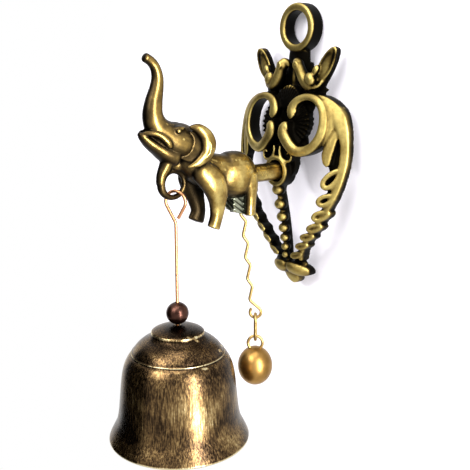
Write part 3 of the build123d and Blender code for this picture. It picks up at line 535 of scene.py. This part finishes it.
# Ears: a shallow dish with a raised rim, which faces outwards and forwards, and a rolled edge
# round its back
for s in (1, -1):
    a = np.linspace(0, 2 * np.pi, 48, endpoint=False)
    dish = np.array(((0.05, 0.5), (0.35, 0.35), (0.62, 0.3), (0.80, 0.7), (0.90, 1.1), (1.0, 1.2),
                     (1.05, 0.8), (1.02, 0.0), (0.85, -1.5), (0.5, -2.4), (0.05, -2.6)))
    out = np.array((s * 0.80, -0.58, 0.12)) / np.linalg.norm((0.80, -0.58, 0.12))
    up = np.array((0, 0.12, 1.0)) - out * (np.array((0, 0.12, 1.0)) @ out)
    up /= np.linalg.norm(up)
    back = np.cross(up, out) * s
    back *= np.sign(back[1])
    r = 4.9 * dish[:, :1] * (1 + 0.10 * np.cos(2 * a))
    lift = dish[:, 1:] * (0.65 + 0.35 * np.cos(a)) + 0.5 * dish[:, :1] * (0.5 + 0.5 * np.cos(a))
    centre = np.array((s * 4.5, -51.0, 11.0))
    flat = centre + (r * np.cos(a))[..., None] * back + (r * np.sin(a))[..., None] * up
    arm.append(skin(flat + lift[..., None] * out))
    arm.append(limb(((s * 4.6, -52.6, 16.9, 0.8, 0.7), (s * 5.8, -50.0, 16.4, 1.1, 1.5),
                     (s * 6.8, -47.9, 14.3, 1.3, 2.2), (s * 7.3, -47.2, 11.5, 1.4, 2.5),
                     (s * 7.1, -48.2, 8.7, 1.3, 2.1), (s * 6.5, -50.8, 6.5, 1.1, 1.4),
                     (s * 5.6, -54.2, 5.2, 0.7, 0.7)), side, 50, 0.2, 0.15))
# Legs: the near front one flows down from the shoulder, and the hind two are a pair
near_front = ((3.2, -50.0, 5.0, 2.0, 2.6), (4.0, -47.2, 3.0, 2.7, 3.8), (4.8, -44.2, 0.2, 3.0, 4.3),
              (4.9, -42.4, -3.4, 2.7, 4.0), (4.3, -41.7, -7.2, 2.1, 3.0),
              (3.9, -41.8, -10.8, 1.8, 2.3), (3.7, -42.5, -13.6, 1.7, 2.2),
              (3.6, -43.0, -15.0, 1.6, 2.4))
far_front = ((3.2, -49.0, 4.6, 2.0, 2.8), (4.2, -46.6, 2.0, 2.7, 4.0), (4.4, -45.0, -2.4, 2.6, 3.9),
             (4.0, -43.8, -6.6, 2.1, 3.0), (3.8, -43.2, -10.4, 1.9, 2.6), (3.7, -44.4, -13.8, 1.9, 3.1))
hind = ((3.8, -29.4, 1.6, 2.6, 4.0), (4.1, -28.3, -2.6, 2.3, 2.9), (3.9, -27.9, -6.4, 1.8, 2.1),
        (3.8, -27.9, -10.0, 1.6, 1.9), (3.8, -28.0, -12.8, 1.6, 1.9))
for s, stations in ((1, near_front), (-1, far_front), (1, hind), (-1, hind)):
    arm.append(limb([(s * p[0],) + p[1:] for p in stations], side, 48, 0.05, 0.12))
# Ring under the chin: its front bar thickens as it runs up into the jaw
a = np.linspace(0, 2 * np.pi, 64, endpoint=False)
hook = np.stack([0 * a, -55.5 + 4.2 * np.cos(a), -0.25 + 4.0 * np.sin(a)], 1)
bar = 0.86 + 0.42 * np.clip(-np.cos(a), 0, 1) ** 2
arm.append(tube(hook, bar, bar, side, 24, True))
arm.append(limb(((0, -60.0, -0.4, 1.3, 1.3), (0, -59.6, 2.6, 1.5, 1.5), (0, -58.0, 5.4, 2.0, 2.0),
                 (0, -56.6, 8.0, 2.4, 2.4)), side, 24, 0.1, 0.1))
arm.append(ball(0, -53.6, 5.6, 2.4, 3.2, 2.2))
# Lug under the belly: a block whose foot slants down towards the wall, with ribs 1.35 mm apart
# that slant round it
u = np.linspace(0, 2 * np.pi, 64, endpoint=False)
span = np.maximum(abs(np.cos(u)), abs(np.sin(u)))
box_x, box_y = np.clip(1.3 * np.cos(u) / span, -1, 1), -np.clip(1.3 * np.sin(u) / span, -1, 1)
fall = np.linspace(0, 1, 70)[:, None]
level = -4.0 - fall * (7.8 + 0.8 * box_y + 0.3 * box_x)
slant = level * 0.8 + box_y * 2.6 * 0.6 + box_x * 2.2 * 0.6
groove = 0.28 * np.sin(slant * 2 * np.pi / 1.35) * (fall < 0.97)
arm.append(skin(np.stack([box_x * (2.2 + groove), -30.8 + box_y * (2.6 + groove), level], -1)))


def buffing_and_shade_share(t, where, normal):
    """How much more the elephant is buffed, and where shade is painted on it: by up to 0.1 on what
    faces outwards to its own side, as a flat wheel reaches it; less by up to 0.55 on what faces along
    the arm, down or inwards, which is painted shade; and by 0.2 on the head and trunk, past 55 mm
    from the wall."""
    facing = add(t, "ShaderNodeSeparateXYZ", _0=normal).outputs["X"]
    place = add(t, "ShaderNodeSeparateXYZ", _0=where).outputs["X"]
    own = add(t, "ShaderNodeMapRange", {"From Min": -0.0015, "From Max": 0.0015, "To Min": -1.0,
                                        "To Max": 1.0}, Value=place).outputs[0]
    across = add(t, "ShaderNodeMath", {"operation": "MULTIPLY"}, _0=facing, _1=own).outputs[0]
    # Painted shade: what doesn't face outwards to the elephant's sides is darkened by up to 0.55
    outward_buff_and_shade = add(t, "ShaderNodeMapRange", {"From Min": 0.1, "From Max": 0.9, "To Min": -0.55, "To Max": 0.1},
                Value=across).outputs[0]
    ahead = add(t, "ShaderNodeSeparateXYZ", _0=where).outputs["Y"]
    head = add(t, "ShaderNodeMapRange", {"From Min": -0.055, "From Max": -0.051, "To Min": -0.2,
                                         "To Max": 0.0}, Value=ahead).outputs[0]
    return add(t, "ShaderNodeMath", {"operation": "ADD"}, _0=outward_buff_and_shade, _1=head)


def lug_painted_shade(t, where, worn, tone):
    """Painted shade on the lug under the belly: a dark grey-green tone that stands for the shade and
    dark reflection there, 6.6 to 15.4 mm under the arm's axis, within 2.7 mm of the middle plane and
    27.5 to 34.3 mm off the wall."""
    middle = {"operation": "MULTIPLY_ADD", 1: (1000, 1000, 1000), 2: (0, 30.9, 11.0 - ARM_Z)}
    spot = add(t, "ShaderNodeVectorMath", middle, _0=where).outputs[0]
    spot = add(t, "ShaderNodeVectorMath", {"operation": "ABSOLUTE"}, _0=spot).outputs[0]
    place = add(t, "ShaderNodeSeparateXYZ", _0=spot).outputs
    inside = add(t, "ShaderNodeMath", {"operation": "LESS_THAN", 1: 2.7}, _0=place["X"]).outputs[0]
    along = add(t, "ShaderNodeMath", {"operation": "LESS_THAN", 1: 3.4}, _0=place["Y"]).outputs[0]
    below = add(t, "ShaderNodeMath", {"operation": "LESS_THAN", 1: 4.4}, _0=place["Z"]).outputs[0]
    inside = add(t, "ShaderNodeMath", {"operation": "MULTIPLY"}, _0=inside, _1=along).outputs[0]
    inside = add(t, "ShaderNodeMath", {"operation": "MULTIPLY"}, _0=inside, _1=below).outputs[0]
    # Painted shade: the lug's grey-green tones stand for the shade under the belly
    lug_shade_tones = ((0.05, "#34372d"), (0.3, "#6a6e5c"), (0.6, "#a5a892"))
    lug_shade = add(t, "ShaderNodeValToRGB", {"stops": lug_shade_tones}, _0=worn).outputs[0]
    return add(t, "ShaderNodeMix", {"data_type": "RGBA"}, Factor=inside, _6=tone, _7=lug_shade).outputs[2]


# Browner and shinier than the plate, with gold flanks, painted shade on what faces away from its
# sides, and a dark grey-green painted shade on the lug
elephant_tones = ((0.20, "#17120b"), (0.45, "#352b1b"), (0.66, "#5c4b2d"), (0.83, "#967b42"),
                  (0.98, "#d2b970"))
elephant_brass = rubbed_brass("rubbed_and_shaded_elephant_brass", elephant_tones, 4.5, 0.27, 0.22, buffing_and_shade_share,
                              lug_painted_shade)
elephant = piece("elephant_casting", arm, elephant_brass, "elephant_arm", "bracket")
cast_in_one(elephant, 0.24, 5)


# BELL WIRE, hung on the ring: 1 mm copper wire, drawn bright, bent to an open eye above and turned
# over under the bell's crown. The frame's own mesh serves.
def drawn_wire(name, tone, rough):
    """Bright drawn wire, which gives the eye thin sharp lights: one tone, with noise of 2 mm in its
    roughness from handling."""
    mat, t = new_material(name)
    where = add(t, "ShaderNodeTexCoord").outputs["Object"]
    dull = add(t, "ShaderNodeTexNoise", {"Scale": 500.0, "Detail": 2.0}, Vector=where).outputs["Fac"]
    gloss = add(t, "ShaderNodeMapRange", {"To Min": rough - 0.08, "To Max": rough + 0.08},
                Value=dull).outputs[0]
    metal = add(t, "ShaderNodeBsdfPrincipled", {"Metallic": 1.0, "Base Color": colour(tone)},
                Roughness=gloss)
    add(t, "ShaderNodeOutputMaterial", Surface=metal.outputs[0])
    return mat


def finish(node, material):
    """Gives a piece of the frame its material."""
    for place in bpy.data.objects[node].material_slots:
        place.material = material


finish("bell_wire", drawn_wire("drawn_copper_wire", "#d69a6c", 0.3))

# BEAD, threaded on the wire and resting on the crown: a drilled brass ball, bronzed a dark red
# brown and polished
BELL_Y = -54.6       # mm, the plumb line of wire, bead and bell in front of the wall


def turned(profile, x, y, around):
    """Closed skin of a profile of radius and height, turned round the plumb line through x and y,
    with that many points around."""
    p = np.asarray(profile, float)
    turn = np.linspace(0, 2 * np.pi, around, endpoint=False)
    ring = np.stack([x + p[:, :1] * np.cos(turn), y + p[:, :1] * np.sin(turn), p[:, 1:] + 0 * turn], -1)
    return skin(ring, True)


BEAD_R = 3.55        # mm, the bead's half size
BEAD_Z = -41.0       # mm, its middle from the arm's axis
a = np.linspace(0.23, np.pi - 0.23, 40)
bead_skin = turned(np.stack([BEAD_R * np.sin(a), BEAD_Z + BEAD_R * np.cos(a)], 1), 0, BELL_Y, 64)
# Dark red brown, clouded over 2.5 mm, and smooth enough to mirror the lamps
dark_bronze, t = new_material("bronzed_bead_brass")
where = add(t, "ShaderNodeTexCoord").outputs["Object"]
cloud = add(t, "ShaderNodeTexNoise", {"Scale": 400.0, "Detail": 3.0}, Vector=where).outputs["Fac"]
bronze_tones = ((0.3, "#33201b"), (0.7, "#5a3d33"))
tone = add(t, "ShaderNodeValToRGB", {"stops": bronze_tones}, _0=cloud).outputs[0]
metal = add(t, "ShaderNodeBsdfPrincipled", {"Metallic": 1.0, "Roughness": 0.3}, Base_Color=tone)
add(t, "ShaderNodeOutputMaterial", Surface=metal.outputs[0])
piece("bronzed_bead", [bead_skin], dark_bronze, "bead", "bell")

# BELL, hung below the bead: a thin brass bell, turned, with a stepped crown and a crisp line at its
# shoulder. Antiqued dark brown, then brushed up and down, so that its edges show bright
CROWN = -44.709      # mm, top of the crown from the arm's axis; the profile is measured from it
outer = np.concatenate([
    curve(((0.8, -0.02), (3.0, -0.2), (5.5, -0.75), (7.4, -1.5), (8.15, -2.0)), 24),
    [(8.33, -2.2), (8.38, -2.5), (8.5, -2.9)],
    curve(((8.5, -3.0), (9.5, -4.0), (11.1, -5.0), (12.6, -6.2), (13.7, -7.4), (14.35, -8.45)), 26),
    [(14.75, -8.7), (14.85, -8.85), (14.8, -9.0), (14.7, -9.1)],
    curve(((14.85, -9.3), (15.75, -10.2), (16.9, -12.3), (17.7, -15.0), (18.2, -18.3), (18.6, -22.3),
           (19.0, -26.4), (19.35, -29.0), (20.0, -31.8), (21.2, -34.3), (22.1, -36.1), (22.45, -37.0)), 70),
    [(22.5, -37.3), (22.42, -37.55), (22.1, -37.6), (21.7, -37.4)],
])
inner = curve(((21.3, -36.9), (20.4, -35.0), (18.9, -32.0), (18.1, -29.0), (17.8, -26.4), (17.4, -22.0),
               (17.0, -18.3), (16.4, -15.0), (15.6, -12.6), (14.4, -10.6), (13.0, -8.9), (11.6, -7.4),
               (9.6, -5.7), (7.6, -4.2), (5.5, -2.6), (3.0, -1.6), (0.8, -1.25)), 60)
bell_skin = turned(np.concatenate([outer, inner]) + (0, CROWN), 0, BELL_Y, 160)
# Dark in the hollows and gold where it is worn, with soft upright streaks that draw the lights out
brushed_brass, t = new_material("brushed_antique_bell_brass")
where = add(t, "ShaderNodeTexCoord").outputs["Object"]
form = add(t, "ShaderNodeNewGeometry").outputs
# Brush lines about 0.5 mm apart, drawn coarser than the real 0.1 mm so that they show
drawn_out = add(t, "ShaderNodeVectorMath", {"operation": "MULTIPLY", 1: (1, 1, 0.035)}, _0=where).outputs[0]
streak = add(t, "ShaderNodeTexNoise", {"Scale": 2400.0, "Detail": 4.0, "Roughness": 0.7},
             Vector=drawn_out).outputs["Fac"]
speck = add(t, "ShaderNodeTexNoise", {"Scale": 1500.0, "Detail": 4.0, "Roughness": 0.7},
            Vector=where).outputs["Fac"]
cloud = add(t, "ShaderNodeTexNoise", {"Scale": 95.0, "Detail": 3.0}, Vector=where).outputs["Fac"]
worn = add(t, "ShaderNodeMapRange", {"From Min": 0.49, "From Max": 0.56, "To Min": 0.0, "To Max": 0.75},
           Value=form["Pointiness"]).outputs[0]
for source, low, high in ((streak, -0.14, 0.46), (speck, -0.08, 0.14), (cloud, -0.2, 0.36)):
    share = add(t, "ShaderNodeMapRange", {"From Min": 0.3, "From Max": 0.7, "To Min": low, "To Max": high},
                Value=source).outputs[0]
    worn = add(t, "ShaderNodeMath", {"operation": "ADD"}, _0=worn, _1=share).outputs[0]
# Less rubbed between the crown and the shoulder line, 100 mm under the frame's zero
height = add(t, "ShaderNodeSeparateXYZ", _0=where).outputs["Z"]
upper = {"From Min": -0.1008, "From Max": -0.1002, "To Min": 0.0, "To Max": -0.14}
share = add(t, "ShaderNodeMapRange", upper, Value=height).outputs[0]
worn = add(t, "ShaderNodeMath", {"operation": "ADD"}, _0=worn, _1=share).outputs[0]
# Worn bright along the crown's edge, the shoulder line and the lip
for line, half in ((-0.0938, 0.0004), (-0.1003, 0.00025), (-0.129, 0.0007)):
    off = add(t, "ShaderNodeMath", {"operation": "SUBTRACT", 1: line}, _0=height).outputs[0]
    off = add(t, "ShaderNodeMath", {"operation": "ABSOLUTE"}, _0=off).outputs[0]
    edge = {"From Min": 0.5 * half, "From Max": half, "To Min": 0.4, "To Max": 0.0}
    share = add(t, "ShaderNodeMapRange", edge, Value=off).outputs[0]
    worn = add(t, "ShaderNodeMath", {"operation": "ADD"}, _0=worn, _1=share).outputs[0]
bell_tones = ((0.05, "#1b130b"), (0.28, "#3d2f21"), (0.52, "#6f5738"), (0.76, "#a3895c"), (1.0, "#e0d2a8"))
tone = add(t, "ShaderNodeValToRGB", {"stops": bell_tones}, _0=worn).outputs[0]
gloss = add(t, "ShaderNodeMapRange", {"From Min": 0.3, "From Max": 0.7, "To Min": 0.2, "To Max": 0.34},
            Value=streak).outputs[0]
bump = add(t, "ShaderNodeBump", {"Strength": 0.35, "Distance": 0.00006}, Height=streak).outputs[0]
metal = add(t, "ShaderNodeBsdfPrincipled", {"Metallic": 1.0}, Base_Color=tone, Roughness=gloss, Normal=bump)
add(t, "ShaderNodeOutputMaterial", Surface=metal.outputs[0])
piece("bell_shell", [bell_skin], brushed_brass, "bell", "bell")

# STRIKER STEM, LINK and EYE: 1 mm brass wire, waved by hand, sunk in the lug and hooked to a long
# link, which carries the eye of the ball
brass_wire = drawn_wire("drawn_brass_wire", "#b2955c", 0.3)
for node in ("striker_stem", "link", "ball_eye"):
    finish(node, brass_wire)

# STRIKER BALL: solid brass, a little taller than wide, satin polished and left golden
BALL_X, BALL_Y, BALL_Z = 4.44, -25.939, -64.6   # mm, its middle at rest, from the arm's axis
a = np.linspace(0.02, np.pi - 0.02, 60)
ball_skin = turned(np.stack([5.83 * np.sin(a), BALL_Z + 6.69 * np.cos(a)], 1), BALL_X, BALL_Y, 160)
# Even gold, clouded a little over 4.5 mm, with broad soft lights from its satin polish
satin_brass, t = new_material("satin_ball_brass")
where = add(t, "ShaderNodeTexCoord").outputs["Object"]
cloud = add(t, "ShaderNodeTexNoise", {"Scale": 220.0, "Detail": 4.0}, Vector=where).outputs["Fac"]
grit = add(t, "ShaderNodeTexNoise", {"Scale": 2500.0, "Detail": 2.0}, Vector=where).outputs["Fac"]
satin_tones = ((0.3, "#8a6835"), (0.7, "#b48b4d"))
tone = add(t, "ShaderNodeValToRGB", {"stops": satin_tones}, _0=cloud).outputs[0]
bump = add(t, "ShaderNodeBump", {"Strength": 0.15, "Distance": 0.00003}, Height=grit).outputs[0]
metal = add(t, "ShaderNodeBsdfPrincipled", {"Metallic": 1.0, "Roughness": 0.36}, Base_Color=tone,
            Normal=bump)
add(t, "ShaderNodeOutputMaterial", Surface=metal.outputs[0])
piece("satin_ball", [ball_skin], satin_brass, "striker_ball", "striker")

# STAGE: white all round, with a pale floor far below and a pale wall that only the camera sees. Soft
# lights stand at the right, in front, at the left and above, and the metal mirrors a dark card at
# the left.
bpy.context.scene.view_settings.view_transform = "Standard"
world = bpy.data.worlds.new("studio")
bpy.context.scene.world = world
world.use_nodes = True
t = world.node_tree
t.nodes.clear()
ray = add(t, "ShaderNodeLightPath").outputs
seen = add(t, "ShaderNodeMath", {"operation": "MAXIMUM"}, _0=ray["Is Camera Ray"],
           _1=ray["Is Transmission Ray"]).outputs[0]
seen = add(t, "ShaderNodeMath", {"operation": "MAXIMUM"}, _0=seen, _1=ray["Is Glossy Ray"]).outputs[0]
plain = add(t, "ShaderNodeBackground", {"Color": (1, 1, 1, 1), "Strength": 0.55})
white = add(t, "ShaderNodeBackground", {"Color": (1, 1, 1, 1), "Strength": 1.0})
mix = add(t, "ShaderNodeMixShader", _0=seen, _1=plain.outputs[0], _2=white.outputs[0])
add(t, "ShaderNodeOutputWorld", Surface=mix.outputs[0])


def lamp(name, place, target, size, watts):
    """Soft white light at a place, turned to a target, in metres."""
    data = bpy.data.lights.new(name, "AREA")
    data.shape = "RECTANGLE"
    data.size, data.size_y = size
    data.energy = watts
    obj = bpy.data.objects.new(name, data)
    obj.location = place
    obj.rotation_euler = (Vector(target) - Vector(place)).to_track_quat("-Z", "Y").to_euler()
    bpy.context.scene.collection.objects.link(obj)
    return obj


lamp("right_box", (0.44, -0.09, -0.04), (0, -0.04, -0.08), (0.07, 0.42), 4.4)
lamp("front_box", (0.05, -0.45, 0.30), (0, -0.02, -0.05), (0.30, 0.30), 2.2)
left = lamp("left_box", (-0.30, -0.42, 0.12), (0, -0.01, -0.05), (0.12, 0.12), 1.6)
left.visible_glossy = False
lamp("top_box", (0.10, -0.16, 0.45), (0, -0.03, -0.05), (0.30, 0.30), 1.2)


def sheet(name, corners, material):
    """Flat sheet of the stage through four corners, in metres."""
    mesh = bpy.data.meshes.new(name)
    mesh.from_pydata(corners, [], [(0, 1, 2, 3)])
    obj = bpy.data.objects.new(name, mesh)
    bpy.context.scene.collection.objects.link(obj)
    mesh.materials.append(material)
    obj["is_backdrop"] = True
    return obj


# Floor: matt, and plain white to the camera and in reflections
floor_paper, t = new_material("pale_floor")
matt = add(t, "ShaderNodeBsdfDiffuse", {"Color": colour("#f2f2f0")}).outputs[0]
ray = add(t, "ShaderNodeLightPath").outputs
seen = add(t, "ShaderNodeMath", {"operation": "MAXIMUM"}, _0=ray["Is Camera Ray"],
           _1=ray["Is Glossy Ray"]).outputs[0]
bright = add(t, "ShaderNodeEmission", {"Color": (1, 1, 1, 1), "Strength": 1.0}).outputs[0]
matt = add(t, "ShaderNodeMixShader", _0=seen, _1=matt, _2=bright).outputs[0]
add(t, "ShaderNodeOutputMaterial", Surface=matt)
sheet("pale_floor", [(-2, -2, -0.9), (2, -2, -0.9), (2, 2, -0.9), (-2, 2, -0.9)], floor_paper)

# Wall: from the front it is matt and takes the shadow, and it fades out 80 to 140 mm from the
# plate's middle; from behind, and to any other ray, it isn't there
wall_paper, t = new_material("pale_wall")
ray = add(t, "ShaderNodeLightPath").outputs["Is Camera Ray"]
front = add(t, "ShaderNodeMath", {"operation": "SUBTRACT", 0: 1.0},
            _1=add(t, "ShaderNodeNewGeometry").outputs["Backfacing"]).outputs[0]
shown = add(t, "ShaderNodeMath", {"operation": "MULTIPLY"}, _0=ray, _1=front).outputs[0]
where = add(t, "ShaderNodeTexCoord").outputs["Object"]
off = add(t, "ShaderNodeVectorMath", {"operation": "DISTANCE", 1: (0, 0, -0.05)}, _0=where).outputs["Value"]
near = add(t, "ShaderNodeMapRange", {"From Min": 0.08, "From Max": 0.14, "To Min": 1.0, "To Max": 0.0},
           Value=off).outputs[0]
shown = add(t, "ShaderNodeMath", {"operation": "MULTIPLY"}, _0=shown, _1=near).outputs[0]
matt = add(t, "ShaderNodeBsdfDiffuse", {"Color": colour("#e6e3ea")}).outputs[0]
bright = add(t, "ShaderNodeEmission", {"Color": colour("#f4f0f7"), "Strength": 0.14}).outputs[0]
both = add(t, "ShaderNodeAddShader", _0=matt, _1=bright).outputs[0]
clear = add(t, "ShaderNodeBsdfTransparent").outputs[0]
wall_mix = add(t, "ShaderNodeMixShader", _0=shown, _1=clear, _2=both)
add(t, "ShaderNodeOutputMaterial", Surface=wall_mix.outputs[0])
corners = [(-0.5, 0.0004, -0.6), (0.5, 0.0004, -0.6), (0.5, 0.0004, 0.4), (-0.5, 0.0004, 0.4)]
sheet("pale_wall", corners, wall_paper)

# Card: dark, out of the camera's sight, so that the metal's left sides have something dark to mirror
card_paper, t = new_material("dark_card")
matt = add(t, "ShaderNodeBsdfDiffuse", {"Color": colour("#15120e")}).outputs[0]
add(t, "ShaderNodeOutputMaterial", Surface=matt)
corners = [(-0.62, -0.16, -0.45), (-0.10, -0.62, -0.45), (-0.10, -0.62, 0.30), (-0.62, -0.16, 0.30)]
card = sheet("dark_card", corners, card_paper)
card.visible_camera = False
card.visible_shadow = False
card.visible_diffuse = False

# Camera: it looks in from 50 degrees to the right and down by 12.75 degrees, and its place is in
# metres from the hanging hole
cam = bpy.data.cameras.new("camera")
cam.lens = 57.447
cam.sensor_width = 36
cam.clip_start = 0.01
camera = bpy.data.objects.new("camera", cam)
camera.location = (0.18271, -0.18442, -0.01215)
az, pitch = np.radians(50), np.radians(12.75)
ahead = Vector((-np.sin(az) * np.cos(pitch), np.cos(az) * np.cos(pitch), -np.sin(pitch)))
camera.rotation_euler = ahead.to_track_quat("-Z", "Y").to_euler()
bpy.context.scene.collection.objects.link(camera)
bpy.context.scene.camera = camera

low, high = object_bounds()
